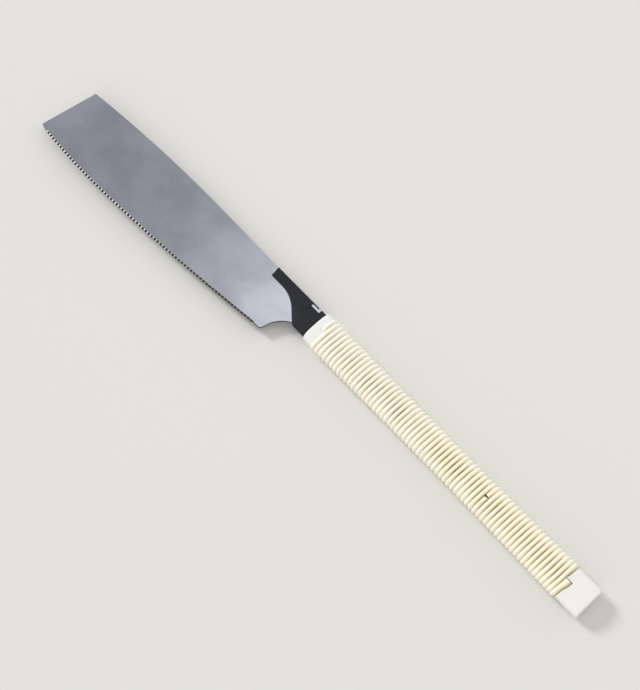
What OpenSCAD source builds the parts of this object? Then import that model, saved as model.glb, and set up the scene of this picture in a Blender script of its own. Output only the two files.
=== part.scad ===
// Kataba pull saw with a replaceable blade, lying flat on its side.
// +X toward the toe of the blade, +Y toward the teeth, +Z up, millimetres.

/* [Blade] */
// Thickness of the blade sheet
blade_t = 0.6; // [0.5:0.05:0.9]
// From the collar's front to the toe's foremost corner
blade_reach = 294.9; // [270:0.1:320]
// How far the toe's spine corner lies behind its teeth corner
toe_rake = 8.9; // [4:0.1:14]
// From the handle's axis to the toe's spine corner
toe_spine = 5.4; // [3:0.1:9]
// From the handle's axis to the toe's teeth corner
toe_edge = 46.5; // [40:0.1:52]
// Length of the plain edge between the toe and the first tooth
snip_l = 8.2; // [4:0.1:14]
// Rise of that plain edge
snip_h = 2.5; // [0.5:0.1:4]
// Tooth pitch
tooth_pitch = 1.75; // [1.5:0.05:2.5]
// Tooth depth
tooth_depth = 1.9; // [1:0.1:2.2]
// From the collar's front to where the toothed edge starts to turn in
belly_x = 199.5; // [170:0.5:220]
// From the handle's axis to the toothed edge there
belly_y = 49.95; // [46:0.05:53]
// Bow of the toothed edge in front of that point
belly_bow_front = 1.4; // [0.8:0.05:2]
// Bow of the toothed edge behind that point
belly_bow_rear = 1.55; // [0.6:0.05:2]
// From the collar's front to where the spine starts to rise
spine_x = 149.5; // [120:0.5:180]
// From the handle's axis to the spine there
spine_y = 13.25; // [12:0.05:15]
// Bow of the spine in front of that point
spine_bow_front = 1.8; // [1:0.05:2.6]
// Bow of the spine behind that point
spine_bow_rear = 0.35; // [0.1:0.05:1]
// From the collar's front to the back of the heel
heel_x = 28.6; // [24:0.1:36]
// From the handle's axis to the heel's plain edge
heel_y = 34.9; // [30:0.1:40]
// Length of the plain edge at the heel
heel_l = 8.2; // [6:0.1:14]
// How far the tooth line starts outside that plain edge
heel_rise = 0.7; // [0:0.1:1.5]
// Size of the heel's rounded corner
heel_r = 3.6; // [2:0.1:5]
// Depth of the arch between heel and holder
arch_bow = 2.8; // [1:0.1:4]

/* [Holder] */
// Thickness of the holder's sheet
sheet_t = 0.8; // [0.6:0.05:1.2]
// From the collar's front to the end of the nose
nose_reach = 59.1; // [52:0.1:68]
// Height of the nose
nose_h = 9.2; // [7:0.1:12]
// Lean of the nose's end
nose_lean = 1; // [0:0.1:2]
// Size of the nose's rounded corner
nose_r = 2; // [1:0.1:3]
// From the handle's axis to the folded edge
holder_spine = 12.95; // [11:0.05:14]
// From the handle's axis to the edge on the teeth side
holder_edge = 13.2; // [11:0.1:14]
// From the collar's front to the corner of the wide part
flare_end = 14.3; // [10:0.1:18]
// Slope of the flare
flare_angle = 41; // [35:1:50]
// Radius where the flare runs into the nose
flare_r = 30; // [20:1:36]
// From the collar's front to the window
window_x = 6.4; // [5.5:0.1:9]
// Length of the window
window_l = 9.2; // [7:0.1:12]
// Height of the window
window_h = 2.4; // [1.5:0.1:3]
// Length of the gap in the fold for the blade's lug
lug_room = 2.8; // [2.4:0.1:4]
// Length of the blade's lug
lug_l = 1.2; // [0.8:0.1:1.5]
// How far the lug stands out from the spine
lug_h = 0.5; // [0.3:0.05:0.7]
// Length of the tongue in the handle
tongue_l = 60; // [56:1:80]
// Width of the tongue
tongue_w = 17; // [12:0.5:19]

/* [Pins] */
// Radius of the hook pin
hook_pin_r = 1.5; // [1.2:0.05:1.7]
// From the collar's front to the hook pin
hook_x = 3.9; // [3.8:0.1:4.4]
// From the handle's axis to the hook pin
hook_y = 7; // [6:0.1:7.4]
// Width of the tang's hook round the pin
hook_arm = 2.1; // [1.5:0.05:2.2]
// Radius of the tongue pins
tongue_pin_r = 2; // [1.5:0.1:3]
// From the collar's front to the first tongue pin
pin_setback = 26; // [22:1:28]
// Distance between the tongue pins
pin_spacing = 22; // [16:1:25]

/* [Handle] */
// Length of the handle
handle_l = 306.1; // [260:0.1:340]
// Width at both ends
end_w = 29.4; // [27:0.1:34]
// Width at the waist
waist_w = 26.7; // [24:0.1:29]
// Thickness under the binding
handle_t = 17; // [15:0.1:20]
// Squareness of the oval section
section_power = 2.6; // [2.2:0.1:4]
// Bare length at the collar
collar_bare = 6.2; // [5.5:0.1:12]
// Bare length at the butt
butt_bare = 22.3; // [16:0.1:30]
// Rounding of the collar's front rim
collar_r = 1.6; // [0.8:0.1:2.5]
// Rounding of the butt's rim, above and below
butt_r = 1.7; // [1:0.1:4]
// Rounding of the butt's rim at its sides
butt_side_r = 1; // [0.8:0.1:3]
// Thickness of the collar's front wall
collar_wall = 4; // [3:0.1:5]
// Width of the core's neck in the collar
neck_w = 23; // [21:0.1:24]
// Thickness of the core's neck in the collar
neck_t = 11; // [8:0.1:12]
// Radius of the butt cap's peg
peg_r = 5; // [3:0.1:6]
// Length of the butt cap's peg
peg_l = 18; // [10:0.5:25]
// Radius of the small hole beside the start of the binding
mark_r = 0.55; // [0.4:0.05:0.8]

/* [Binding] */
// Width of the cord
cord_w = 3.694; // [3:0.002:5]
// Height of the cord
cord_h = 1; // [0.8:0.05:1.5]
// Gap between turns
cord_gap = 0.45; // [0.42:0.01:0.6]
// Turns of the rear cord
rear_turns = 21; // [10:1:30]
// Gap where the two cords meet
joint_gap = 0.8; // [0.5:0.1:2]

/* [Fits] */
// Clearance of the blade on each side and at the fold
blade_gap = 0.05; // [0.04:0.01:0.1]
// Radial clearance of the tang's notch on the hook pin
notch_gap = 0.05; // [0.02:0.01:0.1]
// Radial clearance of fixed pins in their holes
pin_gap = 0.02; // [0.01:0.01:0.05]
// Clearance of tongue, neck and peg in their seats
seat_gap = 0.1; // [0.05:0.01:0.2]
// Clearance between the cord and what it lies on
cord_seat = 0.1; // [0.05:0.01:0.2]

/* [Hidden] */

$fn = 48;
over = 1;
oval_n = 40;
arc_n = 24;
rim_n = 5;
core_n = 14;

// Holder and blade
slot_t = blade_t + 2 * blade_gap;
fold_r = slot_t / 2 + sheet_t;
fold_y = fold_r - holder_spine;
seat_y = sqrt(pow(slot_t, 2) - pow(blade_t, 2)) / 2 - fold_y - blade_gap;
notch_r = hook_pin_r + notch_gap;
hook_r = notch_r + hook_arm;
nose_y = nose_h - holder_spine;
flare_low = nose_y + flare_r * (1 - cos(flare_angle));
flare_mid = flare_end + (holder_edge - flare_low) / tan(flare_angle);
flare_start = flare_mid + flare_r * sin(flare_angle);
flare_corner = 2;
lug_x = window_x + 0.2;

// Handle and binding, all behind the collar's front
pitch = cord_w + cord_gap;
turns = round((handle_l - collar_bare - butt_bare - pitch) / pitch);
front_turns = turns - rear_turns;
lane_first = -collar_bare - pitch / 2;
lane_joint = lane_first - pitch * front_turns;
lane_last = lane_joint - pitch * rear_turns;
waist_x = (lane_first + lane_last) / 2;
waist_span = (lane_first - lane_last) / 2;
collar_end = lane_first - 1.2 * pitch;
cap_start = lane_last + 1.2 * pitch;
half_t = handle_t / 2;
corner = pow(2, 1 - 1 / section_power) - 1;
cord_flat = 0.2;
cord_low = -half_t - cord_seat - cord_h + cord_flat;
cord_profile = [
    [-cord_w / 2, 0],
    [-0.42 * cord_w, 0.6 * cord_h],
    [-0.2 * cord_w, cord_h],
    [0.2 * cord_w, cord_h],
    [0.42 * cord_w, 0.6 * cord_h],
    [cord_w / 2, 0],
];
sides = len(cord_profile);

// Points of an arc from p to q that bulges by bow to the right of p to q
function arc(p, q, bow, n) =
    let (chord = norm(q - p), along = (q - p) / chord, right = [along.y, -along.x])
    let (r = chord * chord / (8 * bow) + bow / 2, half = asin(chord / (2 * r)))
    [for (i = [0 : n])
        let (a = half * (2 * i / n - 1))
        p + along * (chord / 2 + r * sin(a)) + right * (r * cos(a) - r + bow)];

// Half width of the handle at x, and its oval section
function half_w(x) =
    (waist_w + (end_w - waist_w) * pow(min(1, abs(x - waist_x) / waist_span), 2)) / 2;
function power(v) = sign(v) * pow(abs(v), 2 / section_power);
function oval(a, b) =
    [for (i = [0 : oval_n - 1])
        let (t = 360 * (i + 0.5) / oval_n)
        [a * power(cos(t)), b * power(sin(t))]];
function ring(x, in_w = 0, in_t = 0) =
    [for (p = oval(half_w(x) - in_w, half_t - in_t)) [x, p.x, p.y]];
function rim(x, r_w, r_t, way) =
    [for (j = [0 : rim_n])
        let (a = 90 * j / rim_n)
        ring(x - way * r_t * (1 - cos(a)), r_w * (1 - sin(a)), r_t * (1 - sin(a)))];

// Toothed edge
edge_front = [blade_reach - snip_l, toe_edge + snip_h];
edge_back = [heel_x + heel_l, heel_y + heel_rise];
belly = [belly_x, belly_y];
tooth_n_front = round(norm(edge_front - belly) / tooth_pitch);
tooth_n_rear = round(norm(edge_back - belly) / tooth_pitch);
tooth_n = tooth_n_front + tooth_n_rear;
tooth_line_rear = arc(belly, edge_back, belly_bow_rear, tooth_n_rear);
tooth_line = concat(
    arc(edge_front, belly, belly_bow_front, tooth_n_front),
    [for (i = [1 : tooth_n_rear]) tooth_line_rear[i]]
);
tooth_tip = 0.65;
tooth_base = [for (i = [0 : tooth_n])
    let (a = tooth_line[max(0, i - 1)], b = tooth_line[min(tooth_n, i + 1)], v = (b - a) / norm(b - a))
    tooth_line[i] + tooth_depth * [-v.y, v.x]];
teeth = [for (i = [0 : tooth_n - 1])
    each [tooth_base[i], tooth_line[i] * (1 - tooth_tip) + tooth_line[i + 1] * tooth_tip]];

// Blade outline
toe_low = [blade_reach - toe_rake, -toe_spine];
spine_low = [spine_x, -spine_y];
spine_rear = arc(spine_low, [nose_reach, -seat_y], -spine_bow_rear, arc_n / 2);
tang_back = [hook_x, -hook_y];
hook_open = 180 + acos(notch_r / hook_r);
hook_shut = 120;
arch_low = [flare_end + 0.8, holder_edge - 1.2];
arch_high = [heel_x, heel_y - heel_r];
heel_low = [heel_x + heel_r, heel_y];
heel_bow = heel_r * 0.3;
blade_outline = concat(
    arc(toe_low, spine_low, -spine_bow_front, arc_n / 2),
    [for (i = [1 : arc_n / 2]) spine_rear[i]],
    [
        [lug_x + lug_l, -seat_y],
        [lug_x + lug_l, -seat_y - lug_h],
        [lug_x, -seat_y - lug_h],
        [lug_x, -seat_y],
        [hook_x + notch_r, -seat_y],
        [hook_x + notch_r, -hook_y],
        [hook_x - notch_r, -hook_y],
    ],
    [for (i = [0 : arc_n / 2])
        let (a = hook_open + (hook_shut - hook_open) * i / (arc_n / 2))
        tang_back + hook_r * [cos(a), sin(a)]],
    arc(arch_low, arch_high, arch_bow, arc_n),
    arc(arch_high, heel_low, -heel_bow, 6),
    [[heel_x + heel_l, heel_y]],
    [for (i = [len(teeth) - 1 : -1 : 0]) teeth[i]],
    [edge_front],
    [[blade_reach, toe_edge]]
);

// Holder outline, one cheek
cheek_outline = concat(
    [[0, fold_y], [nose_reach, fold_y]],
    arc([nose_reach - nose_lean, nose_y - nose_r], [nose_reach - nose_lean - nose_r, nose_y], nose_r * 0.3, 6),
    [for (i = [0 : arc_n])
        let (a = flare_angle * i / arc_n)
        [flare_start - flare_r * sin(a), nose_y + flare_r * (1 - cos(a))]],
    arc([flare_end, holder_edge] + flare_corner * [cos(flare_angle), -sin(flare_angle)],
        [flare_end - flare_corner, holder_edge], flare_corner * 0.15, 4),
    [
        [0, holder_edge],
        [0, tongue_w / 2],
        [-tongue_l, tongue_w / 2],
        [-tongue_l, -tongue_w / 2],
        [0, -tongue_w / 2],
    ]
);

// Binding path: an eight-sided loop round the oval, wound along the handle
function normals(a, b) =
    let (h = norm([a, b]), p = b / h, q = a / h)
    [[0, 1], [-p, q], [-1, 0], [-p, -q], [0, -1], [p, -q], [1, 0], [p, q]];
function corners(a, b) =
    let (c = corner)
    [[-c * a, b], [-a, c * b], [-a, -c * b], [-c * a, -b], [c * a, -b], [a, -c * b], [a, c * b], [c * a, b]];
function miter(u, v) = (u + v) / (1 + u * v);
loop_a = (end_w + waist_w) / 4;
loop = corners(loop_a, half_t);
loop_side = [for (i = [0 : 7]) norm(loop[i] - (i == 0 ? [0, half_t] : loop[i - 1]))];
function run(i) = i == 0 ? loop_side[0] : run(i - 1) + loop_side[i];
loop_l = run(7) + loop_side[0];
function cord_ring(x, at, out) =
    [for (p = cord_profile) [x + p.x, at.x + out.x * p.y, max(cord_low, at.y + out.y * p.y)]];
function end_ring(x, y) = cord_ring(x - pitch * -y / loop_l, [y, half_t + cord_seat], [0, 1]);
function turn_ring(x0, k) =
    let (i = k % 8, x = x0 - pitch * (floor(k / 8) + run(i) / loop_l))
    let (a = half_w(x) + cord_seat, b = half_t + cord_seat, n = normals(a, b))
    cord_ring(x, corners(a, b)[i], miter(n[i], n[(i + 1) % 8]));
function cord_rings(x0, count, y0, y1) = concat(
    [end_ring(x0, y0)],
    [for (k = [0 : 8 * count - 1]) turn_ring(x0, k)],
    [end_ring(x0 - pitch * count, y1)]
);
function cord_faces(n) = concat(
    [for (j = [1 : sides - 2]) [0, j + 1, j]],
    [for (r = [0 : n - 2], j = [0 : sides - 1])
        let (a = r * sides + j, b = r * sides + (j + 1) % sides)
        each [[a, b, a + sides], [b, b + sides, a + sides]]],
    [for (j = [1 : sides - 2]) let (e = (n - 1) * sides) [e, e + j, e + j + 1]]
);
function least_gap(rings) =
    min([for (r = [1 : len(rings) - 10], p = rings[r], q = rings[r + 8]) norm(p - q)]);

front_rings = cord_rings(lane_first, front_turns, 0, joint_gap / 2);
rear_rings = cord_rings(lane_joint, rear_turns, -joint_gap / 2, 0);
echo(front_binding_least_gap = least_gap(front_rings), rear_binding_least_gap = least_gap(rear_rings));

// Middle of the whole saw, and its height over the table
side_low = min([for (r = concat(front_rings, rear_rings), p = r) p.y]);
side_high = max([for (p = blade_outline) p.y]);
middle = [(blade_reach - handle_l) / 2, (side_low + side_high) / 2];

module place() {
    translate([-middle.x, -middle.y, -cord_low])
        children();
}

// A faceted body through rings of equal length
module loft(rings) {
    n = len(rings[0]);
    last = (len(rings) - 1) * n;
    polyhedron(
        points = [for (r = rings) each r],
        faces = concat(
            [[for (j = [n - 1 : -1 : 0]) j]],
            [for (r = [0 : len(rings) - 2], j = [0 : n - 1])
                let (a = r * n + j, b = r * n + (j + 1) % n)
                each [[a, b, a + n], [b, b + n, a + n]]],
            [[for (j = [0 : n - 1]) last + j]]
        ),
        convexity = 4
    );
}

// A straight oval bar from x backwards
module bar(x, l, a, b) {
    translate([x - l, 0, 0])
        rotate([90, 0, 90])
            linear_extrude(l)
                polygon(oval(a, b));
}

module pin(x, y, r, l) {
    translate([x, y, 0])
        cylinder(r = r, h = l, center = true);
}

module tongue_room() {
    w = tongue_w + 2 * seat_gap;
    t = 2 * fold_r + 2 * seat_gap;
    l = tongue_l + seat_gap;
    translate([-l, -w / 2, -t / 2])
        cube([l + over, w, t]);
}

module saw_blade() {
    color("#a4a8b0")
        place()
            linear_extrude(blade_t, center = true)
                difference() {
                    polygon(blade_outline);
                    translate(tang_back)
                        circle(notch_r);
                }
}

module blade_holder() {
    color("#2c2c30")
        place()
            difference() {
                union() {
                    for (z = [-fold_r, slot_t / 2])
                        translate([0, 0, z])
                            linear_extrude(sheet_t)
                                polygon(cheek_outline);
                    rotate([90, 0, 90])
                        linear_extrude(nose_reach)
                            intersection() {
                                translate([fold_y, 0])
                                    difference() {
                                        circle(fold_r);
                                        circle(slot_t / 2);
                                    }
                                translate([fold_y - 2 * fold_r, -2 * fold_r])
                                    square([2 * fold_r, 4 * fold_r]);
                            }
                }
                translate([window_x, -seat_y, -2 * fold_r])
                    cube([window_l, window_h, 4 * fold_r]);
                translate([window_x, -2 * holder_spine, -2 * fold_r])
                    cube([lug_room, 2 * holder_spine - seat_y + window_h / 2, 4 * fold_r]);
                pin(hook_x, -hook_y, hook_pin_r + pin_gap, 4 * fold_r);
                for (x = [-pin_setback, -pin_setback - pin_spacing])
                    pin(x, 0, tongue_pin_r + pin_gap, 4 * fold_r);
            }
}

module hook_pin() {
    color("#2c2c30")
        place()
            pin(hook_x, -hook_y, hook_pin_r, 2 * fold_r);
}

module tongue_pin_front() {
    color("#8c9096")
        place()
            pin(-pin_setback, 0, tongue_pin_r, handle_t - 4 * seat_gap);
}

module tongue_pin_rear() {
    color("#8c9096")
        place()
            pin(-pin_setback - pin_spacing, 0, tongue_pin_r, handle_t - 4 * seat_gap);
}

module front_collar() {
    color("#f0f0ee")
        place()
            difference() {
                loft(concat(rim(0, collar_r, collar_r, 1), [ring(collar_end)]));
                bar(-collar_wall, -collar_end, neck_w / 2 + seat_gap, neck_t / 2 + seat_gap);
                tongue_room();
                translate([-collar_bare - mark_r, 2 * mark_r, half_t - 2])
                    cylinder(r = mark_r, h = half_t);
            }
}

module handle_core() {
    color("#c8a070")
        place()
            difference() {
                union() {
                    loft([for (i = [0 : core_n])
                        ring(collar_end - seat_gap + (cap_start + 2 * seat_gap - collar_end) * i / core_n)]);
                    bar(-collar_wall - seat_gap, over - collar_end - collar_wall, neck_w / 2, neck_t / 2);
                }
                tongue_room();
                for (x = [-pin_setback, -pin_setback - pin_spacing])
                    pin(x, 0, tongue_pin_r + pin_gap, 2 * handle_t);
                translate([cap_start - over, 0, 0])
                    rotate([0, 90, 0])
                        cylinder(r = peg_r + seat_gap / 2, h = peg_l + seat_gap + over);
            }
}

module butt_cap() {
    end_rim = rim(-handle_l, butt_side_r, butt_r, -1);
    color("#f0f0ee")
        place() {
            loft(concat([ring(cap_start)], [for (r = [rim_n : -1 : 0]) end_rim[r]]));
            translate([cap_start - over, 0, 0])
                rotate([0, 90, 0])
                    cylinder(r = peg_r, h = peg_l + over);
        }
}

module front_binding() {
    color("#f4f0dc")
        place()
            polyhedron(
                points = [for (r = front_rings) each r],
                faces = cord_faces(len(front_rings)),
                convexity = 10
            );
}

module rear_binding() {
    color("#f4f0dc")
        place()
            polyhedron(
                points = [for (r = rear_rings) each r],
                faces = cord_faces(len(rear_rings)),
                convexity = 10
            );
}

saw_blade();
blade_holder();
hook_pin();
tongue_pin_front();
tongue_pin_rear();
front_collar();
handle_core();
butt_cap();
front_binding();
rear_binding();
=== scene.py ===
import math

import bmesh
import bpy
from mathutils import Matrix, Vector, noise


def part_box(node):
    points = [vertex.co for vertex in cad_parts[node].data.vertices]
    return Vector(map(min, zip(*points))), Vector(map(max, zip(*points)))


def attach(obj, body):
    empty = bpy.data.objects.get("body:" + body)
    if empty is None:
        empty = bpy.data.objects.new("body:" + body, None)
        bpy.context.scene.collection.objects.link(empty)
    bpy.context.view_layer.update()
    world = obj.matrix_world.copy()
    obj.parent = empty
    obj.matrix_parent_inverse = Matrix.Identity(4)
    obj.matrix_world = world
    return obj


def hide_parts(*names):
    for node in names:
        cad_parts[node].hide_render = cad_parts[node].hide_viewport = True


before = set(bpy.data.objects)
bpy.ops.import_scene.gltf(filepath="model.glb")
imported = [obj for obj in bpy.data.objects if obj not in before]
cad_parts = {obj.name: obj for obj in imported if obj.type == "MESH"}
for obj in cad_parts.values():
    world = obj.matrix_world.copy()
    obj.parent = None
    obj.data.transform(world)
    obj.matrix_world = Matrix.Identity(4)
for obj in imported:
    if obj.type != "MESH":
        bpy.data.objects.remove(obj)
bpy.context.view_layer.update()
print("frame loaded")

mm = 0.001  # the pieces' dictionaries are in mm and degrees
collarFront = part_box("front_collar")[1].x
handleAxis = sum(corner.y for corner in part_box("butt_cap")) / 2
bladePlane = sum(corner.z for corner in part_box("hook_pin")) / 2


# The saw's own frame in mm: x from the collar's front to the toe, y from the handle's axis to the teeth,
# z up from the blade's plane
def spot(x, y, z=0.0):
    return Vector((collarFront + x * mm, handleAxis + y * mm, bladePlane + z * mm))


def linearColour(text):  # "#rrggbb" in sRGB to linear RGBA
    channels = [int(text[i:i + 2], 16) / 255 for i in (1, 3, 5)]
    return [c / 12.92 if c <= 0.04045 else ((c + 0.055) / 1.055) ** 2.4 for c in channels] + [1.0]


def perMetre(size):  # pattern scale from a feature's size in mm
    return 1 / (size * mm)


def addNode(tree, kind, values=None, links=None, **settings):
    node = tree.nodes.new(kind)
    for key, value in settings.items():
        setattr(node, key, value)
    for key, value in (values or {}).items():
        node.inputs[key].default_value = value
    for key, source in (links or {}).items():
        tree.links.new(source, node.inputs[key])
    return node


def newMaterial(name):
    material = bpy.data.materials.new(name)
    material.use_nodes = True
    return material, material.node_tree, material.node_tree.nodes["Principled BSDF"]


def setShader(shader, **values):
    for key, value in values.items():
        shader.inputs[key.replace("_", " ")].default_value = value


# Cold-rolled carbon steel, plated and polished satin: soft cloudy grey
def makeBladeSteel():
    look = {"dull": "#b0b3bd", "clear": "#c8cbd4", "cloud": 34}
    material, tree, shader = newMaterial("satin_plated_steel")
    place = addNode(tree, "ShaderNodeTexCoord")
    cloud = addNode(tree, "ShaderNodeTexNoise",
                    {"Scale": perMetre(look["cloud"]), "Detail": 3.0, "Roughness": 0.5},
                    {"Vector": place.outputs["Object"]})
    clear = addNode(tree, "ShaderNodeMapRange", {"From Min": 0.35, "From Max": 0.65},
                    {"Value": cloud.outputs["Fac"]})
    tone = addNode(tree, "ShaderNodeMix", {6: linearColour(look["dull"]), 7: linearColour(look["clear"])},
                   {0: clear.outputs["Result"]}, data_type="RGBA")
    satin = addNode(tree, "ShaderNodeMapRange",
                    {"From Min": 0.3, "From Max": 0.7, "To Min": 0.285, "To Max": 0.255},
                    {"Value": cloud.outputs["Fac"]})
    tree.links.new(tone.outputs[2], shader.inputs["Base Color"])
    tree.links.new(satin.outputs["Result"], shader.inputs["Roughness"])
    setShader(shader, Metallic=1.0)
    return material


# Impulse-hardened steel at the tooth points: dull oxide, almost black; also painted as shade on every second
# tooth and along the arch and heel edge
def makeHardenedShadeSteel():
    look = {"dark": "#0d0c0d", "light": "#1c1b1d", "grain": 1.3}
    material, tree, shader = newMaterial("hardened_steel_painted_shade")
    place = addNode(tree, "ShaderNodeTexCoord")
    grain = addNode(tree, "ShaderNodeTexNoise", {"Scale": perMetre(look["grain"]), "Detail": 2.0},
                    {"Vector": place.outputs["Object"]})
    tone = addNode(tree, "ShaderNodeMix", {6: linearColour(look["dark"]), 7: linearColour(look["light"])},
                   {0: grain.outputs["Fac"]}, data_type="RGBA")
    tree.links.new(tone.outputs[2], shader.inputs["Base Color"])
    setShader(shader, Metallic=0.3, Roughness=0.5)
    return material


# Ground steel with a fine grinding grain, its tone changing from the heel to the toe: a pale tone is a
# painted highlight, a dark one a painted shadow
def makePaintedLightSteel(name, heel, toe):
    look = {"heelX": 0.08, "toeX": 0.18, "grain": 0.5}  # the two x in metres
    material, tree, shader = newMaterial(name)
    place = addNode(tree, "ShaderNodeTexCoord")
    axes = addNode(tree, "ShaderNodeSeparateXYZ", None, {"Vector": place.outputs["Object"]})
    along = addNode(tree, "ShaderNodeMapRange", {"From Min": look["heelX"], "From Max": look["toeX"]},
                    {"Value": axes.outputs["X"]})
    base = addNode(tree, "ShaderNodeMix", {6: linearColour(heel), 7: linearColour(toe)},
                   {0: along.outputs["Result"]}, data_type="RGBA")
    grain = addNode(tree, "ShaderNodeTexNoise", {"Scale": perMetre(look["grain"]), "Detail": 1.0},
                    {"Vector": place.outputs["Object"]})
    shade = addNode(tree, "ShaderNodeMapRange", {"To Min": 0.86, "To Max": 1.0},
                    {"Value": grain.outputs["Fac"]})
    tone = addNode(tree, "ShaderNodeVectorMath", None,
                   {0: base.outputs[2], "Scale": shade.outputs["Result"]}, operation="SCALE")
    tree.links.new(tone.outputs["Vector"], shader.inputs["Base Color"])
    setShader(shader, Metallic=0.12, Roughness=0.5)
    return material


# Black baked enamel on pressed sheet steel: satin near-black, light orange peel, a few dull scuffs
def makeBlackEnamel():
    look = {"deep": "#0d0f13", "dusty": "#181b22", "cloud": 14, "peel": 0.7, "peelDepth": 0.05, "scuff": 2.2}
    material, tree, shader = newMaterial("black_baked_enamel")
    place = addNode(tree, "ShaderNodeTexCoord")
    cloud = addNode(tree, "ShaderNodeTexNoise",
                    {"Scale": perMetre(look["cloud"]), "Detail": 5.0, "Roughness": 0.6},
                    {"Vector": place.outputs["Object"]})
    tone = addNode(tree, "ShaderNodeMix", {6: linearColour(look["deep"]), 7: linearColour(look["dusty"])},
                   {0: cloud.outputs["Fac"]}, data_type="RGBA")
    peel = addNode(tree, "ShaderNodeTexNoise", {"Scale": perMetre(look["peel"]), "Detail": 1.0},
                   {"Vector": place.outputs["Object"]})
    bump = addNode(tree, "ShaderNodeBump", {"Strength": 0.12, "Distance": look["peelDepth"] * mm},
                   {"Height": peel.outputs["Fac"]})
    scuff = addNode(tree, "ShaderNodeTexNoise", {"Scale": perMetre(look["scuff"]), "Detail": 3.0},
                    {"Vector": place.outputs["Object"]})
    rough = addNode(tree, "ShaderNodeMapRange",
                    {"From Min": 0.35, "From Max": 0.7, "To Min": 0.36, "To Max": 0.55},
                    {"Value": scuff.outputs["Fac"]})
    tree.links.new(tone.outputs[2], shader.inputs["Base Color"])
    tree.links.new(rough.outputs["Result"], shader.inputs["Roughness"])
    tree.links.new(bump.outputs["Normal"], shader.inputs["Normal"])
    setShader(shader, IOR=1.5, Specular_IOR_Level=0.35)
    return material


# White ABS, injection moulded: smooth satin, faint warm and cool clouds, fine mould texture
def makeWhiteAbs():
    look = {"cool": "#f1f0ec", "warm": "#f5f2ea", "cloud": 22, "texture": 0.5, "textureDepth": 0.03}
    material, tree, shader = newMaterial("white_moulded_abs")
    place = addNode(tree, "ShaderNodeTexCoord")
    cloud = addNode(tree, "ShaderNodeTexNoise", {"Scale": perMetre(look["cloud"]), "Detail": 3.0},
                    {"Vector": place.outputs["Object"]})
    tone = addNode(tree, "ShaderNodeMix", {6: linearColour(look["cool"]), 7: linearColour(look["warm"])},
                   {0: cloud.outputs["Fac"]}, data_type="RGBA")
    fine = addNode(tree, "ShaderNodeTexNoise", {"Scale": perMetre(look["texture"]), "Detail": 1.0},
                   {"Vector": place.outputs["Object"]})
    bump = addNode(tree, "ShaderNodeBump", {"Strength": 0.06, "Distance": look["textureDepth"] * mm},
                   {"Height": fine.outputs["Fac"]})
    rough = addNode(tree, "ShaderNodeMapRange", {"To Min": 0.3, "To Max": 0.42},
                    {"Value": cloud.outputs["Fac"]})
    tree.links.new(tone.outputs[2], shader.inputs["Base Color"])
    tree.links.new(rough.outputs["Result"], shader.inputs["Roughness"])
    tree.links.new(bump.outputs["Normal"], shader.inputs["Normal"])
    setShader(shader, IOR=1.53)
    return material
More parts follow.
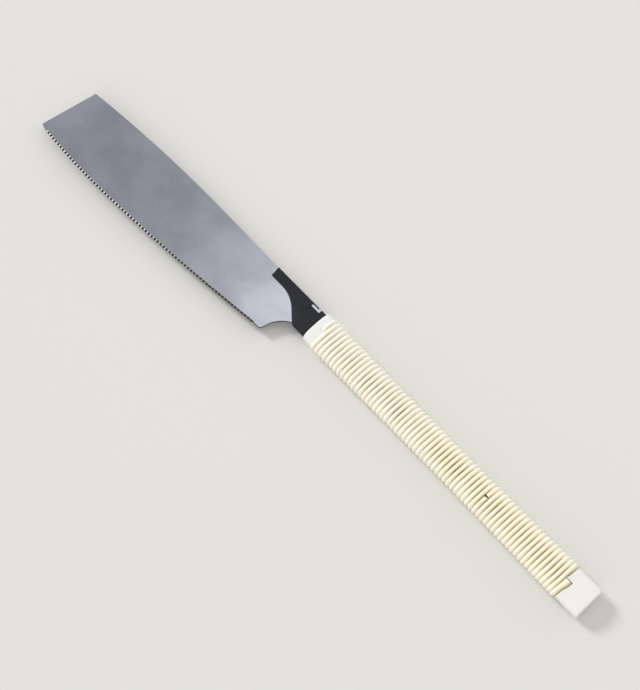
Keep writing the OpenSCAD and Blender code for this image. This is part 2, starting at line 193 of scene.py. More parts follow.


# Extruded soft vinyl cord: cream crests, grooves and flanks darker as painted shade with some dirt, greyer in
# front and more yellow toward the butt, near-black painted shade on the cut ends, faint drawn streaks along
# it
def makeCordVinyl():
    look = {
        # the groove and side colours are painted shade with some dirt, the near-black one is painted shade on
        # cut ends and in gaps
        "shadeBlack": "#15110a", "stops": (0.12, 0.5, 0.82),  # groove, side and crest of a turn
        "front": ("#9f9684", "#e8dfc2", "#fefaed"), "rear": ("#967f3c", "#dcca8d", "#fef8e3"),
        "fromX": 0.0, "toX": -0.27, "patch": 26,  # the two x in metres
        "streak": 0.55, "streakRun": 18, "streakDepth": 0.06, "cloud": 30,
    }
    material, tree, shader = newMaterial("cream_extruded_vinyl")
    place = addNode(tree, "ShaderNodeTexCoord")
    lift = addNode(tree, "ShaderNodeAttribute", attribute_name="lift")
    tones = []
    for part in ("front", "rear"):
        ramp = addNode(tree, "ShaderNodeValToRGB", None, {"Fac": lift.outputs["Fac"]})
        stops = ramp.color_ramp.elements
        stops[0].position, stops[0].color = 0.0, linearColour(look["shadeBlack"])
        stops[1].position, stops[1].color = look["stops"][2], linearColour(look[part][2])
        for stopAt, colour in zip(look["stops"][:2], look[part][:2]):
            stops.new(stopAt).color = linearColour(colour)
        tones.append(ramp.outputs["Color"])
    axes = addNode(tree, "ShaderNodeSeparateXYZ", None, {"Vector": place.outputs["Object"]})
    along = addNode(tree, "ShaderNodeMapRange",
                    {"From Min": look["fromX"], "From Max": look["toX"], "To Min": -0.2, "To Max": 0.8},
                    {"Value": axes.outputs["X"]})
    patch = addNode(tree, "ShaderNodeTexNoise", {"Scale": perMetre(look["patch"]), "Detail": 2.0},
                    {"Vector": place.outputs["Object"]})
    age = addNode(tree, "ShaderNodeMath", None, {0: along.outputs["Result"], 1: patch.outputs["Fac"]},
                  operation="ADD", use_clamp=True)
    aged = addNode(tree, "ShaderNodeMix", None, {0: age.outputs["Value"], 6: tones[0], 7: tones[1]},
                   data_type="RGBA")
    cordway = addNode(tree, "ShaderNodeAttribute", attribute_name="cordway")
    stretch = addNode(tree, "ShaderNodeMapping", {"Scale": (look["streak"] / look["streakRun"], 1.0, 1.0)},
                      {"Vector": cordway.outputs["Vector"]})
    streak = addNode(tree, "ShaderNodeTexNoise", {"Scale": perMetre(look["streak"]), "Detail": 2.0},
                     {"Vector": stretch.outputs["Vector"]})
    cloud = addNode(tree, "ShaderNodeTexNoise", {"Scale": perMetre(look["cloud"]), "Detail": 3.0},
                    {"Vector": place.outputs["Object"]})
    shade = addNode(tree, "ShaderNodeMapRange",
                    {"From Min": 0.3, "From Max": 0.7, "To Min": 0.95, "To Max": 1.0},
                    {"Value": cloud.outputs["Fac"]})
    tone = addNode(tree, "ShaderNodeVectorMath", None,
                   {0: aged.outputs[2], "Scale": shade.outputs["Result"]}, operation="SCALE")
    bump = addNode(tree, "ShaderNodeBump", {"Strength": 0.15, "Distance": look["streakDepth"] * mm},
                   {"Height": streak.outputs["Fac"]})
    rough = addNode(tree, "ShaderNodeMapRange", {"To Min": 0.36, "To Max": 0.5},
                    {"Value": streak.outputs["Fac"]})
    tree.links.new(tone.outputs["Vector"], shader.inputs["Base Color"])
    tree.links.new(rough.outputs["Result"], shader.inputs["Roughness"])
    tree.links.new(bump.outputs["Normal"], shader.inputs["Normal"])
    setShader(shader, IOR=1.53)
    return material


# Drawn steel pin: plain grey with fine turning grain
def makePinSteel():
    look = {"dark": "#7b7e84", "light": "#9a9da3", "grain": 0.8}
    material, tree, shader = newMaterial("drawn_pin_steel")
    place = addNode(tree, "ShaderNodeTexCoord")
    grain = addNode(tree, "ShaderNodeTexNoise", {"Scale": perMetre(look["grain"]), "Detail": 3.0},
                    {"Vector": place.outputs["Object"]})
    tone = addNode(tree, "ShaderNodeMix", {6: linearColour(look["dark"]), 7: linearColour(look["light"])},
                   {0: grain.outputs["Fac"]}, data_type="RGBA")
    tree.links.new(tone.outputs[2], shader.inputs["Base Color"])
    setShader(shader, Metallic=1.0, Roughness=0.4)
    return material


# Polypropylene core: moulded, off-white to greyish beige in clouds, dull
def makeCorePlastic():
    look = {"dusty": "#b5b095", "clean": "#d9d5c0", "cloud": 9}
    material, tree, shader = newMaterial("core_polypropylene")
    place = addNode(tree, "ShaderNodeTexCoord")
    cloud = addNode(tree, "ShaderNodeTexNoise", {"Scale": perMetre(look["cloud"]), "Detail": 4.0},
                    {"Vector": place.outputs["Object"]})
    tone = addNode(tree, "ShaderNodeMix", {6: linearColour(look["dusty"]), 7: linearColour(look["clean"])},
                   {0: cloud.outputs["Fac"]}, data_type="RGBA")
    tree.links.new(tone.outputs[2], shader.inputs["Base Color"])
    setShader(shader, Roughness=0.6, IOR=1.49)
    return material


bladeSteel = makeBladeSteel()
hardenedShadeSteel = makeHardenedShadeSteel()
bevelHighlightSteel = makePaintedLightSteel("ground_bevel_painted_highlight", "#80746a", "#efeeea")  # painted highlight toward the toe, dull and brownish toward the heel as painted shadow
bareEdgeHighlight = makePaintedLightSteel("ground_edge_painted_highlight", "#f4f3f0", "#f4f3f0")  # bare steel on the holder's nose, painted near-white as a highlight
blackEnamel = makeBlackEnamel()
whiteAbs = makeWhiteAbs()
cordVinyl = makeCordVinyl()
pinSteel = makePinSteel()
corePlastic = makeCorePlastic()
print("materials ready")


def finishPiece(bm, name, body, node, materials, sharpFrom):
    mesh = bpy.data.meshes.new(name)
    bm.to_mesh(mesh)
    bm.free()
    for material in materials:
        mesh.materials.append(material)
    mesh.polygons.foreach_set("use_smooth", [True] * len(mesh.polygons))
    mesh.set_sharp_from_angle(angle=math.radians(sharpFrom))
    piece = bpy.data.objects.new(name, mesh)
    bpy.context.scene.collection.objects.link(piece)
    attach(piece, body)
    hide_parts(node)
    print("piece", name, len(mesh.polygons), "faces")
    return piece


def turnAbout(bm, vert, centre, degrees, steps):  # draws an arc from a vertex, returns its vertices in order
    drawn = [vert]
    for _ in range(steps):
        made = bmesh.ops.spin(bm, geom=[drawn[-1]], cent=centre, axis=(0, 0, 1),
                              angle=math.radians(degrees / steps), steps=1)
        drawn.append(next(g for g in made["geom_last"] if isinstance(g, bmesh.types.BMVert)))
    return drawn


def arcTo(bm, vert, end, bow, steps):  # bulges by bow mm to the right of the way, or left if negative
    way = end - vert.co
    right = Vector((way.y, -way.x, 0)).normalized()
    radius = way.length ** 2 / (8 * bow * mm) + bow * mm / 2
    centre = (vert.co + end) / 2 + right * (bow * mm - radius)
    return turnAbout(bm, vert, centre, math.degrees(2 * math.asin(way.length / (2 * radius))), steps)


def lineTo(bm, vert, *ends):  # draws straight lines from a vertex, returns the last one's end
    for end in ends:
        made = bmesh.ops.extrude_vert_indiv(bm, verts=[vert])
        vert = made["verts"][0]
        vert.co = end
    return vert


# Blade: one sheet with its tang, cut from an outline of arcs, with set teeth pulled out of its edge
sawBlade = {
    "thick": 0.6,
    "toeSpine": (286.0, -5.4), "toeEdge": (294.9, 46.5), "edgeFront": (286.7, 49.0),
    "belly": (199.5, 49.95), "edgeBack": (36.8, 35.6), "bellyBows": (1.55, 1.4),
    "teethRear": 93, "teethFront": 50, "toothDepth": 1.9, "tipAt": 0.35, "tipUp": 1.7, "tipDown": 0.35,
    "tipThick": 0.22, "set": 0.16,
    "spineLow": (149.5, -13.25), "spineSeat": (59.1, -11.93), "spineBows": (1.8, 0.35),
    "spineSteps": (24, 16), "lug": (7.8, 6.6, -12.43), "hook": (3.9, -7.0), "notch": 1.55,
    "hookRound": 3.65, "hookShut": 120, "hookSteps": 16,
    "archLow": (15.1, 12.0), "archHigh": (28.5, 30.6), "archBow": 2.7, "archSteps": 24,
    "heelLow": (32.8, 34.9), "heelBow": 1.26, "heelSteps": 8, "heelEdge": (36.8, 34.9),
    "toeBreak": 0.5, "darkBreak": 0.5, "onLine": 0.0001, "sharpFrom": 15,
}


def makeBlade():
    s = sawBlade
    dark, bright = 1, 2  # material slots: 1 dark steel painted as shade, 2 bright bevel painted as a highlight, the plain sheet is 0
    low = -s["thick"] / 2
    bm = bmesh.new()
    seatY = s["spineSeat"][1]
    lugFront, lugBack, lugY = s["lug"]
    hookX, hookY = s["hook"]
    notch = s["notch"]
    first = bm.verts.new(spot(*s["toeSpine"], low))
    spineFront = arcTo(bm, first, spot(*s["spineLow"], low), -s["spineBows"][0], s["spineSteps"][0])
    spineRear = arcTo(bm, spineFront[-1], spot(*s["spineSeat"], low), -s["spineBows"][1], s["spineSteps"][1])
    vert = lineTo(bm, spineRear[-1], spot(lugFront, seatY, low), spot(lugFront, lugY, low),
                  spot(lugBack, lugY, low), spot(lugBack, seatY, low),
                  spot(hookX + notch, seatY, low), spot(hookX + notch, hookY, low))
    vert = turnAbout(bm, vert, spot(hookX, hookY, low), 180, s["hookSteps"])[-1]
    opening = math.degrees(math.acos(notch / s["hookRound"]))
    hookEnd = hookY - s["hookRound"] * math.sin(math.radians(opening))
    vert = lineTo(bm, vert, spot(hookX - notch, hookEnd, low))
    vert = turnAbout(bm, vert, spot(hookX, hookY, low), s["hookShut"] - 180 - opening, s["hookSteps"])[-1]
    vert = lineTo(bm, vert, spot(*s["archLow"], low))
    heel = arcTo(bm, vert, spot(*s["archHigh"], low), s["archBow"], s["archSteps"])
    heel += arcTo(bm, heel[-1], spot(*s["heelLow"], low), -s["heelBow"], s["heelSteps"])[1:]
    heel.append(lineTo(bm, heel[-1], spot(*s["heelEdge"], low)))
    heelLine = [v.co.copy() for v in heel]
    root = [spot(x, y - s["toothDepth"], low) for x, y in (s["edgeBack"], s["belly"], s["edgeFront"])]
    vert = lineTo(bm, heel[-1], root[0])
    roots = arcTo(bm, vert, root[1], -s["bellyBows"][0], s["teethRear"])
    roots += arcTo(bm, roots[-1], root[2], -s["bellyBows"][1], s["teethFront"])[1:]
    toe = lineTo(bm, roots[-1], spot(*s["edgeFront"], low), spot(*s["toeEdge"], low))
    bm.edges.new((toe, first))
    sheet = bmesh.ops.contextual_create(bm, geom=bm.edges[:])["faces"][0]
    rootEdges = [bm.edges.get(pair) for pair in zip(roots, roots[1:])]
    toeLine = [toe.co.copy(), first.co.copy()]
    raised = bmesh.ops.extrude_face_region(bm, geom=[sheet], use_keep_orig=True)["geom"]
    bmesh.ops.translate(bm, verts=[g for g in raised if isinstance(g, bmesh.types.BMVert)],
                        vec=(0, 0, s["thick"] * mm))
    bmesh.ops.recalc_face_normals(bm, faces=bm.faces[:])

    # every second tooth is bent up and painted dark as shade, the others bent down with a ground bevel
    # painted bright as a highlight
    walls = [next(f for f in edge.link_faces if len(f.verts) == 4) for edge in rootEdges]
    out = [wall.normal.copy() for wall in walls]
    teeth = bmesh.ops.extrude_discrete_faces(bm, faces=walls)["faces"]
    teeth.sort(key=lambda face: face.calc_center_median().x)
    for i, (tooth, way) in enumerate(zip(teeth, out)):
        middle = tooth.calc_center_median()
        along = Vector((-way.y, way.x, 0))
        if along.x < 0:
            along = -along
        half = max(abs((v.co - middle).dot(along)) for v in tooth.verts)
        tip = middle + along * half * (2 * s["tipAt"] - 1) + way * s["toothDepth"] * mm
        side = 1 if i % 2 else -1
        tipLong = s["tipUp"] if side > 0 else s["tipDown"]
        for v in tooth.verts:
            end = 1 if (v.co - middle).dot(along) > 0 else -1
            outer = (v.co.z > middle.z) == (side > 0)
            rise = s["thick"] / 2 + s["set"] - (0 if outer else s["tipThick"])
            v.co = tip + along * end * tipLong * mm / 2 + Vector((0, 0, side * rise * mm))
        for face in {f for v in tooth.verts for f in v.link_faces}:
            face.material_index = dark if side > 0 else bright

    # the upper edge at the toe is bevelled and painted bright as a highlight, and the arch and heel edge is
    # painted dark as shade
    def onLine(v, line):
        return v.co.z > bladePlane and min((v.co.xy - point.xy).length for point in line) < s["onLine"] * mm

    for line, width, slot in ((toeLine, s["toeBreak"], bright), (heelLine, s["darkBreak"], dark)):
        edges = [e for e in bm.edges if all(onLine(v, line) for v in e.verts)]
        walls = {f for e in edges for f in e.link_faces if abs(f.normal.z) < 0.5}  # the upright faces
        broken = bmesh.ops.bevel(bm, geom=edges, offset=width * mm, segments=1, profile=0.5, affect="EDGES",
                                 material=-1)["faces"]
        for face in list(walls) + broken:
            if face.is_valid:
                face.material_index = slot
    return finishPiece(bm, "saw_sheet", "blade", "saw_blade",
                       [bladeSteel, hardenedShadeSteel, bevelHighlightSteel], s["sharpFrom"])


makeBlade()


# Holder: one pressed sheet folded over the blade's spine, with a window and a gap in its fold
holder = {
    "sheet": 0.8, "skin": 1.15, "foldY": -11.8, "foldSteps": 14,
    "noseReach": 59.1, "noseY": -3.75, "noseLean": 1.0, "noseRound": 2.0, "noseBow": 0.6, "noseSteps": 8,
    "flareStart": (45.02, -3.75), "flareRadius": 30.0, "flareAngle": 41.0, "flareSteps": 24, "flareEnd": 14.3,
    "edge": 13.2, "flareCorner": 2.0, "cornerBow": 0.3, "cornerSteps": 6, "tongue": (-60.0, 8.5),
    "window": (6.4, 15.6, -11.8, -9.53), "windowRound": 0.6, "windowSteps": 4, "foldGap": (6.4, 9.2),
    "hook": (3.9, -7.0, 1.52), "tonguePins": (-26.0, -48.0, 2.02), "holeSides": 32,
    "noseBreak": 0.45, "noseSlack": 0.1, "edgeBreak": 0.15, "edgeFrom": 50, "weld": 0.01, "weldBreaks": 0.02,
    "sharpFrom": 30,
}


def settle(piece):  # takes a piece's modifiers into its mesh
    bpy.context.view_layer.update()
    mesh = bpy.data.meshes.new_from_object(piece.evaluated_get(bpy.context.evaluated_depsgraph_get()))
    piece.modifiers.clear()
    piece.data = mesh


def makeHolder():
    s = holder
    z = s["skin"]
    bm = bmesh.new()
    x0, x1, y0, y1 = s["window"]
    gap0, gap1 = s["foldGap"]
    first = bm.verts.new(spot(0, s["foldY"], z))
    gapIn = lineTo(bm, first, spot(gap0, y0, z))
    windowRear = lineTo(bm, gapIn, spot(x0, y1, z))
    windowFront = lineTo(bm, windowRear, spot(x1, y1, z))
    windowEnd = lineTo(bm, windowFront, spot(x1, y0, z))
    nose = lineTo(bm, windowEnd, spot(s["noseReach"], s["foldY"], z))
    front = s["noseReach"] - s["noseLean"]
    vert = lineTo(bm, nose, spot(front, s["noseY"] - s["noseRound"], z))
    vert = arcTo(bm, vert, spot(front - s["noseRound"], s["noseY"], z), s["noseBow"], s["noseSteps"])[-1]
    flareX, flareY = s["flareStart"]
    vert = lineTo(bm, vert, spot(flareX, flareY, z))
    flareCentre = spot(flareX, flareY + s["flareRadius"], z)
    vert = turnAbout(bm, vert, flareCentre, -s["flareAngle"], s["flareSteps"])[-1]
    angle = math.radians(s["flareAngle"])
    slope = Vector((math.cos(angle), -math.sin(angle), 0)) * mm
    vert = lineTo(bm, vert, spot(s["flareEnd"], s["edge"], z) + slope * s["flareCorner"])
    cornerEnd = spot(s["flareEnd"] - s["flareCorner"], s["edge"], z)
    vert = arcTo(bm, vert, cornerEnd, s["cornerBow"], s["cornerSteps"])[-1]
    tongueEnd, tongueSide = s["tongue"]
    vert = lineTo(bm, vert, spot(0, s["edge"], z), spot(0, tongueSide, z), spot(tongueEnd, tongueSide, z),
                  spot(tongueEnd, -tongueSide, z), spot(0, -tongueSide, z))
    bm.edges.new((vert, first))
    pinFront, pinRear, pinHole = s["tonguePins"]
    for x, y, radius in (s["hook"], (pinFront, 0, pinHole), (pinRear, 0, pinHole)):
        bmesh.ops.create_circle(bm, segments=s["holeSides"], radius=radius * mm,
                                matrix=Matrix.Translation(spot(x, y, z)))
    bmesh.ops.bevel(bm, geom=[windowRear, windowFront], offset=s["windowRound"] * mm,
                    segments=s["windowSteps"], profile=0.5, affect="VERTICES", material=-1)
    bmesh.ops.triangle_fill(bm, edges=bm.edges[:], use_beauty=True, use_dissolve=False)
    cheek = bm.faces[:]
    other = [g for g in bmesh.ops.duplicate(bm, geom=cheek)["geom"] if isinstance(g, bmesh.types.BMVert)]
    bmesh.ops.translate(bm, verts=other, vec=(0, 0, -2 * z * mm))
    # the fold runs on past the window's outer side as a strip, up to the gap for the blade's lug
    strip = lineTo(bm, windowEnd, spot(gap1, y0, z))
    for chain in ([first, gapIn], [strip, windowEnd, nose]):
        edges = [bm.edges.get(pair) for pair in zip(chain, chain[1:])]
        bmesh.ops.spin(bm, geom=chain + edges, cent=spot(0, s["foldY"], 0), axis=(1, 0, 0),
                       angle=math.radians(180), steps=s["foldSteps"])
    bmesh.ops.remove_doubles(bm, verts=bm.verts[:], dist=s["weld"] * mm)
    bmesh.ops.recalc_face_normals(bm, faces=bm.faces[:])
    top = max(bm.faces, key=lambda face: face.calc_center_median().z)
    if top.normal.z < 0:
        bmesh.ops.reverse_faces(bm, faces=bm.faces[:])
    piece = finishPiece(bm, "folded_holder", "handle", "blade_holder",
                        [blackEnamel, bareEdgeHighlight], s["sharpFrom"])
    wall = piece.modifiers.new("sheet", "SOLIDIFY")
    wall.thickness, wall.offset, wall.use_even_offset = s["sheet"] * mm, -1.0, True
    settle(piece)

    # the nose's outer edge is ground bare and painted near-white as a highlight, and all other sharp edges
    # are slightly rounded
    def onNose(v):
        pastFold = min(0, v.co.y - spot(0, s["foldY"]).y)
        outward = math.hypot(pastFold, v.co.z - bladePlane)
        return v.co.x > spot(front, 0).x - s["noseSlack"] * mm and abs(outward - z * mm) < s["weld"] * mm

    def sharpEdges():
        return [e for e in bm.edges if e.calc_face_angle(0) > math.radians(s["edgeFrom"])]

    bm = bmesh.new()
    bm.from_mesh(piece.data)
    edges = [e for e in sharpEdges() if all(onNose(v) for v in e.verts)]
    broken = bmesh.ops.bevel(bm, geom=edges, offset=s["noseBreak"] * mm, segments=1, profile=0.5,
                             affect="EDGES", material=-1)["faces"]
    for face in broken:
        face.material_index = 1  # the bare steel, painted near-white as a highlight
    bmesh.ops.bevel(bm, geom=sharpEdges(), offset=s["edgeBreak"] * mm, segments=2, profile=0.5,
                    affect="EDGES", material=-1, clamp_overlap=True)
    bmesh.ops.remove_doubles(bm, verts=bm.verts[:], dist=s["weldBreaks"] * mm)
    bm.to_mesh(piece.data)
    bm.free()
    piece.data.set_sharp_from_angle(angle=math.radians(s["sharpFrom"]))
    return piece


makeHolder()


# Handle: a squarish oval, narrowest at its waist
handle = {
    "length": 306.1, "endWidth": 29.4, "waistWidth": 26.7, "thick": 17.0, "squareness": 2.6,
    "waistX": -145.024, "waistSpan": 136.752, "segments": 96, "sharpFrom": 50,
}


def halfWidth(x):  # half the handle's width at x, in mm
    s = handle
    out = min(1.0, abs(x - s["waistX"]) / s["waistSpan"])
    return (s["waistWidth"] + (s["endWidth"] - s["waistWidth"]) * out * out) / 2


def squared(value):  # turns a sine or cosine into the squarish oval's
    return math.copysign(abs(value) ** (2 / handle["squareness"]), value)


def setRing(ring, x, inSide, inFace):  # places a ring by each vertex's turn round the axis
    for i, v in enumerate(ring):
        turn = 2 * math.pi * i / len(ring)
        v.co = spot(x, (halfWidth(x) - inSide) * squared(math.cos(turn)),
                    (handle["thick"] / 2 - inFace) * squared(math.sin(turn)))


def ringEdges(bm, ring):
    return [bm.edges.get(pair) for pair in zip(ring, ring[1:] + ring[:1])]


def nextRing(bm, ring, x, inSide=0.0, inFace=0.0):  # extrudes a ring on to x, drawn in by the two amounts
    made = bmesh.ops.extrude_edge_only(bm, edges=ringEdges(bm, ring))["geom"]
    fresh = {g for g in made if isinstance(g, bmesh.types.BMVert)}
    following = [next(e.other_vert(v) for e in v.link_edges if e.other_vert(v) in fresh) for v in ring]
    setRing(following, x, inSide, inFace)
    return following


def drillHole(piece, x, y, radius, depth, sides):  # a small blind hole in the top of a piece
    cutter = bmesh.new()
    top = handle["thick"] / 2
    bmesh.ops.create_cone(cutter, cap_ends=True, segments=sides, radius1=radius * mm, radius2=radius * mm,
                          depth=2 * depth * mm, matrix=Matrix.Translation(spot(x, y, top)))
    mesh = bpy.data.meshes.new("drill")
    cutter.to_mesh(mesh)
    cutter.free()
    drill = bpy.data.objects.new("drill", mesh)
    bpy.context.scene.collection.objects.link(drill)
    cut = piece.modifiers.new("hole", "BOOLEAN")
    cut.operation, cut.solver, cut.object = "DIFFERENCE", "EXACT", drill
    settle(piece)
    bpy.data.objects.remove(drill)


def makeEnd(name, node, run):
    bm = bmesh.new()
    ring = bmesh.ops.create_circle(bm, segments=handle["segments"], radius=1.0)["verts"]
    setRing(ring, *run[0])
    ends = [ring]
    for step in run[1:]:
        ring = nextRing(bm, ring, *step)
    ends.append(ring)
    for ring in ends:
        bmesh.ops.contextual_create(bm, geom=ringEdges(bm, ring))
    bmesh.ops.recalc_face_normals(bm, faces=bm.faces[:])
    return finishPiece(bm, name, "handle", node, [whiteAbs], handle["sharpFrom"])


def rimRun(x, way, side, face, steps):  # rings of a rounded rim that ends at x, facing way
    return [(x - way * face * (1 - math.sin(a)), side * (1 - math.cos(a)), face * (1 - math.cos(a)))
            for a in (math.pi / 2 * j / steps for j in range(steps + 1))]


# Handle ends: two shells that reach in under the binding
collar = {
    "rear": -13.25, "steps": 6, "round": 1.6, "rimSteps": 8,
    "hole": (-6.75, 1.1, 0.5, 0.6), "holeSides": 24,
}
butt = {"front": -276.8, "steps": 10, "side": 1.0, "face": 1.7, "rimSteps": 10}


def makeHandleEnds():
    s = collar
    steps = s["steps"]
    run = [(s["rear"] * (1 - k / steps) - s["round"] * k / steps, 0.0, 0.0) for k in range(steps)]
    run += rimRun(0, 1, s["round"], s["round"], s["rimSteps"])
    shell = makeEnd("collar_shell", "front_collar", run)
    drillHole(shell, *s["hole"], s["holeSides"])
    s = butt
    steps = s["steps"]
    back = -handle["length"]
    run = [(s["front"] + (back + s["face"] - s["front"]) * k / steps, 0.0, 0.0) for k in range(steps)]
    run += rimRun(back, -1, s["side"], s["face"], s["rimSteps"])
    makeEnd("butt_shell", "butt_cap", run)


makeHandleEnds()


# Binding: half-round vinyl cord wound tight in two lengths, end to end, the second pressed wider at its tail
binding = {
    "pitch": 4.144, "width": 4.12, "height": 1.2, "seat": -0.05, "ringsPerTurn": 48, "profile": 10,
    "fullness": 2.2, "laneFirst": -8.272, "turnsFront": 45, "turnsRear": 21, "floor": -9.4,
    "turnShare": 0.88,  # a turn's length over that of the box round the oval
    "sway": 0.1, "swayRun": 9.0, "wander": 0.3, "wanderRun": 45.0, "wanderLane": 0.5,
    "lag": 1.05, "lagTurns": 6,
    "startRun": 0.05, "startTall": 0.1, "startWide": 0.7, "startLift": 0.8,  # runs are in turns
    "tailRun": 0.1, "tailFlare": 1.4, "tailFilm": 0.55,
    "jointToe": 2.0, "jointButt": 0.2, "lip": 0.25, "film": 0.15,
    "skirt": 1.0, "skirtSeat": 0.03, "skirtShade": 0.05, "grooveLift": 0.12,
    # painted groove shade with some dirt: strongest near the top's middle, fading toward the sides, least at
    # the sides, in patches
    "shadeMiddle": 0.15, "sideFade": 0.95, "leastShadeAndDirt": 0.25,
    "shadeDirtRun": 8.0, "shadeDirtPatch": 0.4, "shadeDirtStretch": 2, "shadeDirtLane": 20,
    "weld": 0.001, "sharpFrom": 60,
}


# One ring of the cord as (x, place round the axis, lift), turns count from the handle's top
def cordRing(turn, laneX, tall, wide, flare, skirts):
    s = binding
    a = 2 * math.pi * (turn % 1.0)
    x = laneX - s["pitch"] * turn
    half, face = halfWidth(x), handle["thick"] / 2
    at = Vector((0, -half * squared(math.sin(a)), face * squared(math.cos(a))))
    power = handle["squareness"] - 1
    out = Vector((0, math.copysign((abs(at.y) / half) ** power / half, at.y),
                  math.copysign((abs(at.z) / face) ** power / face, at.z))).normalized()
    drift = s["sway"] * noise.noise(Vector((x, at.y, at.z)) / s["swayRun"])
    drift += s["wander"] * noise.noise(Vector((x / s["wanderRun"], s["wanderLane"], s["wanderLane"])))
    done = (s["laneFirst"] - x) / s["pitch"]
    left = s["turnsFront"] + s["turnsRear"] - done
    lagging = min(1.0, done / s["lagTurns"], left / s["lagTurns"])
    drift -= s["lag"] * lagging * (1 - (at.z / face) ** 2)  # at the sides each turn lags toward the butt
    shadeAndDirt = max(s["leastShadeAndDirt"], 1 - s["sideFade"] * (at.y / half - s["shadeMiddle"]) ** 2)  # painted groove shade with some dirt, most along the top and fading toward the sides
    patch = Vector((x, at.y / s["shadeDirtStretch"], s["shadeDirtLane"] + at.z)) / s["shadeDirtRun"]
    shadeAndDirt *= 1 + s["shadeDirtPatch"] * noise.noise(patch)
    ring = []
    for j in range(s["profile"] + 1):
        across = 1 - 2 * j / s["profile"]
        up = 1 - abs(across) ** s["fullness"]
        seat, spread = s["seat"], 0.0
        if j in skirts:  # a thin foot painted dark as the shadow along the outermost turn
            seat, spread = s["skirtSeat"], across * s["skirt"]
        reach = across * (s["width"] * wide + flare) / 2 - flare / 2
        place = at + out * (seat + s["height"] * up * tall)
        ring.append((x + reach + spread + drift, place, 1 - (1 - up) * shadeAndDirt))
    return ring


def makeCord(name, node, laneX, turns, before, after):
    s = binding
    bm = bmesh.new()
    lift = bm.verts.layers.float.new("lift")
    way = bm.verts.layers.float_vector.new("cordway")
    turnLength = 2 * (handle["endWidth"] + handle["thick"]) * s["turnShare"] * mm
    count = s["ringsPerTurn"] * turns
    # rings as (turn, cut at the toe's side, cut at the butt's side, height, painted near-black as shade)
    rings = before + [(k / s["ringsPerTurn"], 0.0, 0.0, 1.0, False) for k in range(1, count)] + after
    starts, ends = not before[0][4], after[-1][1] < 0  # the first cord's soft start and the last one's tail
    edges = []
    for turn, cutToe, cutButt, tall, inShade in rings:
        if not edges:
            ring = [bm.verts.new() for _ in range(s["profile"] + 1)]
            edges = [bm.edges.new(pair) for pair in zip(ring, ring[1:] + ring[:1])]
            firstEdges = list(edges)
        else:
            made = bmesh.ops.extrude_edge_only(bm, edges=edges)["geom"]
            ring = [g for g in made if isinstance(g, bmesh.types.BMVert)]
            edges = [g for g in made if isinstance(g, bmesh.types.BMEdge)]
        wide, flare = 1.0, 0.0
        if starts and turn < s["startRun"]:
            rise = math.sin(math.pi / 2 * turn / s["startRun"]) ** 2
            tall = s["startTall"] + (1 - s["startTall"]) * rise
            wide = s["startWide"] + (1 - s["startWide"]) * tall
        if ends and turn > turns - s["tailRun"]:
            flare = s["tailFlare"] * math.sin(math.pi / 2 * (1 - (turns - turn) / s["tailRun"])) ** 2
        skirts = [s["profile"]] * (ends and turn > turns - 1)
        profile = cordRing(turn, laneX, tall, wide, flare, skirts)
        for j, (v, (x, place, high)) in enumerate(zip(ring, profile)):
            share = j / s["profile"]
            v.co = spot(x, place.y + cutToe + (cutButt - cutToe) * share, max(s["floor"], place.z))
            if starts and turn < 1 and share < 0.5:  # the first turn gets no painted groove shade on its open side
                high = max(high, s["startLift"])
            v[lift] = s["grooveLift"] + (1 - s["grooveLift"]) * high
            # cut ends and films are painted near-black as shade
            if inShade:
                v[lift] = 0.0
            # the skirt is painted dark as shadow
            elif j in skirts:
                v[lift] = s["skirtShade"]
            v[way] = (turn * turnLength, share * s["width"] * mm, 0)
    bmesh.ops.contextual_create(bm, geom=firstEdges)
    bmesh.ops.contextual_create(bm, geom=edges)
    bmesh.ops.remove_doubles(bm, verts=bm.verts[:], dist=s["weld"] * mm)
    bmesh.ops.recalc_face_normals(bm, faces=bm.faces[:])
    return finishPiece(bm, name, "handle", node, [cordVinyl], s["sharpFrom"])


def makeBinding():
    s = binding
    front, rear = s["turnsFront"], s["turnsRear"]
    toeCut, buttCut = s["jointToe"] / 2, s["jointButt"] / 2
    lip, film, past = s["lip"], s["film"], -s["tailFilm"]
    softStart = [(0.0, 0.0, 0.0, s["startTall"], False)]
    # the front cord's cut end is painted near-black as shade
    jointBefore = [(front, toeCut + lip, buttCut + lip, 1.0, False), (front, toeCut, buttCut, 1.0, True)]
    # the next cord starts as a near-black film that lines the gap, painted shade
    jointAfter = [(0.0, toeCut, buttCut, film, True), (0.0, -toeCut, -buttCut, film, True),
                  (0.0, -toeCut, -buttCut, 1.0, True), (0.0, -toeCut - lip, -buttCut - lip, 1.0, False)]
    # the tail's cut end and a film past it are painted near-black as its shadow
    tail = [(rear, lip, lip, 1.0, False), (rear, 0.0, 0.0, 1.0, True), (rear, 0.0, 0.0, film, True),
            (rear, past, past, film, True)]
    makeCord("front_cord", "front_binding", s["laneFirst"], front, softStart, jointBefore)
    makeCord("rear_cord", "rear_binding", s["laneFirst"] - s["pitch"] * front, rear, jointAfter, tail)


makeBinding()

# The CAD solids that stay in the scene, with their materials
keptSolids = {
    "hook_pin": blackEnamel, "tongue_pin_front": pinSteel, "tongue_pin_rear": pinSteel,
    "handle_core": corePlastic,
}
for nodeName, material in keptSolids.items():
    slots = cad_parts[nodeName].data.materials
    slots.clear()
    slots.append(material)
print("kept solids dressed")


# Pale floor, its size in metres
def makeFloor():
    look = {"colour": "#e6e4e0", "size": 12.0}
    material, _, shader = newMaterial("pale_floor")
    setShader(shader, Base_Color=linearColour(look["colour"]), Roughness=0.85)
    bm = bmesh.new()
    bmesh.ops.create_grid(bm, x_segments=2, y_segments=2, size=look["size"] / 2)
    mesh = bpy.data.meshes.new("floor")
    bm.to_mesh(mesh)
    bm.free()
    mesh.materials.append(material)
    floor = bpy.data.objects.new("floor", mesh)
    bpy.context.scene.collection.objects.link(floor)


makeFloor()


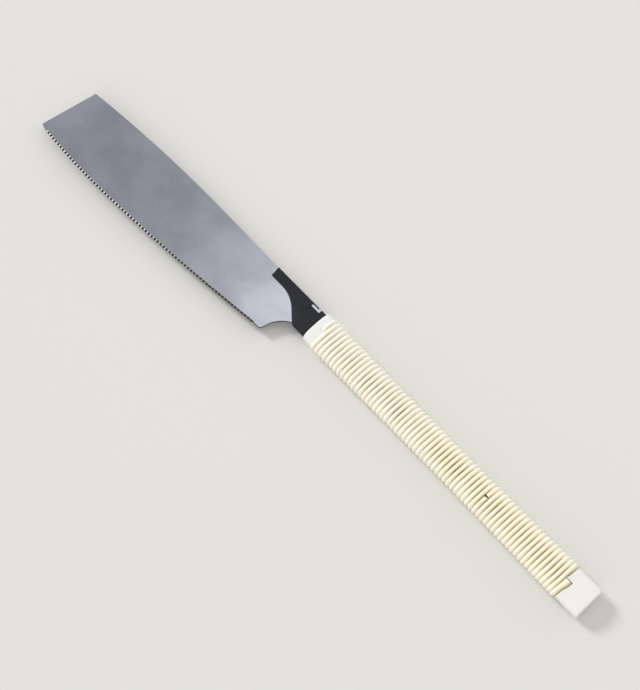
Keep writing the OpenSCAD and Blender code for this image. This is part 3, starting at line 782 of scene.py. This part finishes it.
# Soft studio light: an even key from the toe's side, wide fills on both sides, a dim panel high on the
# spine's side, and a grey room that is about as pale as the floor at the horizon; places in metres
def makeLights():
    suns = {
        "key": {"place": (2.1, 0.3, 1.55), "strength": 1.5, "spread": 16.0},
        "teethFill": {"place": (-0.1, 1.4, 0.75), "strength": 0.64, "spread": 65.0},
        "spineFill": {"place": (-0.1, -1.4, 0.75), "strength": 0.64, "spread": 65.0},
    }
    panel = {"place": (0.06, -0.3, 1.6), "size": 1.0, "power": 2.9}
    room = {"horizon": "#dfdedb", "above": "#a3a4a6", "fadeTo": 0.6}
    rigs = []
    for name, s in suns.items():
        lamp = bpy.data.lights.new(name, "SUN")
        lamp.energy, lamp.angle = s["strength"], math.radians(s["spread"])
        rigs.append((name, lamp, Vector(s["place"]), Vector()))
    lamp = bpy.data.lights.new("panel", "AREA")
    lamp.shape, lamp.size, lamp.energy = "DISK", panel["size"], panel["power"]
    rigs.append(("panel", lamp, Vector(panel["place"]), Vector((*panel["place"][:2], 0))))
    for name, lamp, place, aim in rigs:
        rig = bpy.data.objects.new(name, lamp)
        rig.location = place
        rig.rotation_euler = (aim - place).to_track_quat("-Z", "Y").to_euler()
        bpy.context.scene.collection.objects.link(rig)
    world = bpy.data.worlds.new("grey_room")
    bpy.context.scene.world = world
    world.use_nodes = True
    tree = world.node_tree
    place = addNode(tree, "ShaderNodeTexCoord")
    axes = addNode(tree, "ShaderNodeSeparateXYZ", None, {"Vector": place.outputs["Generated"]})
    height = addNode(tree, "ShaderNodeMapRange", {"From Max": room["fadeTo"]}, {"Value": axes.outputs["Z"]},
                     interpolation_type="SMOOTHSTEP")
    tone = addNode(tree, "ShaderNodeMix", {6: linearColour(room["horizon"]), 7: linearColour(room["above"])},
                   {0: height.outputs["Result"]}, data_type="RGBA")
    tree.links.new(tone.outputs[2], tree.nodes["Background"].inputs["Color"])


makeLights()
print("lights ready")


# Camera at the photograph's place and angle, its focal length and the image's width in pixels
def makeCamera():
    s = {"place": (-270.24, 245.81, 1035.49), "right": (-0.67997, -0.73324), "tilt": 18.646, "focal": 1350.0,
         "imageWidth": 640, "sensor": 36.0}
    right = Vector((*s["right"], 0)).normalized()
    level = Vector((-right.y, right.x, 0))
    tilt = math.radians(s["tilt"])
    forward = level * math.sin(tilt) - Vector((0, 0, math.cos(tilt)))
    up = right.cross(forward)
    data = bpy.data.cameras.new("camera")
    data.sensor_fit, data.sensor_width = "HORIZONTAL", s["sensor"]
    data.lens = s["focal"] / s["imageWidth"] * s["sensor"]
    camera = bpy.data.objects.new("camera", data)
    turned = Matrix((right, up, -forward)).transposed().to_4x4()
    camera.matrix_world = Matrix.Translation(spot(*s["place"])) @ turned
    bpy.context.scene.collection.objects.link(camera)
    bpy.context.scene.camera = camera


makeCamera()
bpy.context.scene.view_settings.view_transform = "Standard"
print("camera ready")
